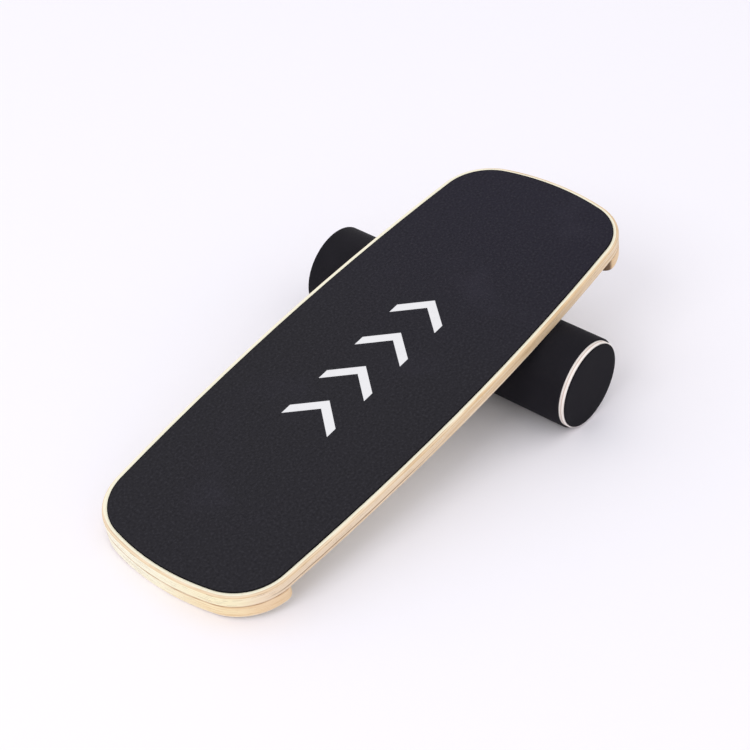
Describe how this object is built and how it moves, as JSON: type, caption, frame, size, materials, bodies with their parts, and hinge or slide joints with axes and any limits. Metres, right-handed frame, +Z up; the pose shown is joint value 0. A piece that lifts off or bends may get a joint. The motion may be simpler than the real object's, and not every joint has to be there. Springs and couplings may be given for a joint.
{
  "type": "balance board",
  "caption": "Plywood balance deck with a black grip sheet and an end stop under each end, resting tilted on a loose rubber-sleeved roller.",
  "frame": {"origin": "on the floor, at the middle of the footprint of deck and roller together", "axes": "+X along the deck towards its raised end, +Y along the roller, +Z up from the floor"},
  "size_m": [0.7425, 0.394, 0.1694],
  "materials": {
    "birch_ply": "clear matt lacquer over birch plywood",
    "plain_ply": "bare birch plywood",
    "cap_ply": "sanded birch plywood edge",
    "grip_sheet": "matt fine-grained grip sheet",
    "sleeve_rubber": "matt rubber sleeve",
    "end_pad_rubber": "matt rubber pad",
    "core_tube": "extruded tube",
    "zinc_screw": "zinc plated",
    "rod_steel": "zinc plated"
  },
  "bodies": {
    "board": {"deck_panel": "birch_ply", "grip_sheet": "grip_sheet", "near_stop": "birch_ply", "far_stop": "birch_ply", "near_stop_screws": "zinc_screw", "far_stop_screws": "zinc_screw"},
    "axle": {"tie_rod": "rod_steel", "left_tie_washer": "rod_steel", "right_tie_washer": "rod_steel", "left_tie_nut": "rod_steel", "right_tie_nut": "rod_steel"},
    "roller": {"core_tube": "core_tube", "sleeve": "sleeve_rubber", "centre_rib": "plain_ply", "left_cap_plug": "plain_ply", "left_cap_disc": "cap_ply", "left_cap_screws": "zinc_screw", "left_end_pad": "end_pad_rubber", "right_cap_plug": "plain_ply", "right_cap_disc": "cap_ply", "right_cap_screws": "zinc_screw", "right_end_pad": "end_pad_rubber"}
  },
  "joints": [
    {"name": "roller_travel", "type": "slide", "parent": "board", "child": "axle", "axis": [0.9832, 0, 0.1828], "range_m": [-0.4092, 0.0972]},
    {"name": "roller_spin", "type": "hinge", "parent": "axle", "child": "roller", "pos_m": [0.16366, 0, 0.0575], "axis": [0, 1, 0], "range_deg": [-97, 408]}
  ],
  "couplings": [
    {"joint": "roller_spin", "follows": "roller_travel", "rad_per_m": -17.391}
  ]
}
